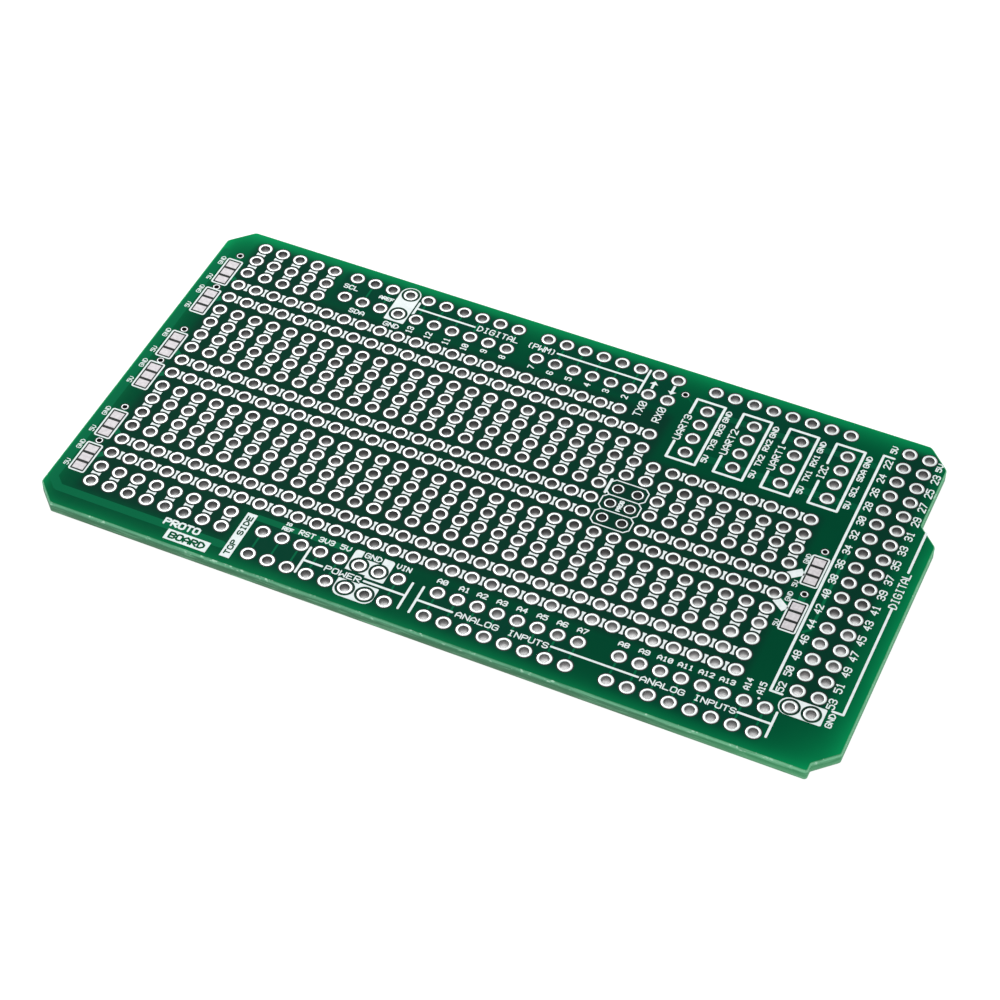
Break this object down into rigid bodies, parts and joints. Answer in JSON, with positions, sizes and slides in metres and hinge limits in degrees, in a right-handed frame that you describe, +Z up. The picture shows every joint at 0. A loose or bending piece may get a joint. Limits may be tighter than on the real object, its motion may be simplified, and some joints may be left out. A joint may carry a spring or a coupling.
{
  "type": "prototyping board",
  "caption": "Bare prototyping board for a large microcontroller board, with header rows, linked pad grid, rails and solder jumpers.",
  "frame": {"origin": "middle of the board's underside", "axes": "+X along the long side towards the double-row header, +Y towards the digital headers, +Z up out of the component side"},
  "size_m": [0.1016, 0.0534, 0.0016],
  "materials": {
    "laminate": "cut glass-epoxy laminate, satin",
    "mask": "green solder mask, semi-gloss",
    "tin": "levelled tin on copper, bright",
    "ink": "white printed legend, matt"
  },
  "bodies": {
    "root": {"fr4_core": "laminate", "frame_i2c": "ink", "frame_jumper_bottom_lower": "ink", "frame_jumper_bottom_upper": "ink", "frame_jumper_middle_lower": "ink", "frame_jumper_middle_upper": "ink", "frame_jumper_right_lower": "ink", "frame_jumper_right_upper": "ink", "frame_jumper_top_inner": "ink", "frame_jumper_top_outer": "ink", "frame_uart1": "ink", "frame_uart2": "ink", "frame_uart3": "ink", "jumper_bottom_lower": "tin", "jumper_bottom_upper": "tin", "jumper_middle_lower": "tin", "jumper_middle_upper": "tin", "jumper_right_lower": "tin", "jumper_right_upper": "tin", "jumper_top_inner": "tin", "jumper_top_outer": "tin", "lands_analog_0_to_7_edge": "tin", "lands_analog_0_to_7_inner": "tin", "lands_analog_8_to_15_edge": "tin", "lands_analog_8_to_15_inner": "tin", "lands_communication": "tin", "lands_digital_0_to_7_edge": "tin", "lands_digital_0_to_7_inner": "tin", "lands_digital_8_to_13_edge": "tin", "lands_digital_8_to_13_inner": "tin", "lands_double_row_even": "tin", "lands_double_row_odd": "tin", "lands_i2c": "tin", "lands_icsp": "tin", "lands_power_edge": "tin", "lands_power_inner": "tin", "lands_uart1": "tin", "lands_uart2": "tin", "lands_uart3": "tin", "rail_bottom_lower": "tin", "rail_bottom_upper": "tin", "rail_middle_lower": "tin", "rail_middle_upper": "tin", "rail_right_lower": "tin", "rail_right_top": "tin", "rail_right_upper": "tin", "rail_top_inner": "tin", "rail_top_outer": "tin", "solder_mask_top": "mask", "strips_bottom_left": "tin", "strips_lower": "tin", "strips_right_lower": "tin", "strips_right_upper": "tin", "strips_top_left": "tin", "strips_upper": "tin"}
  },
  "joints": []
}
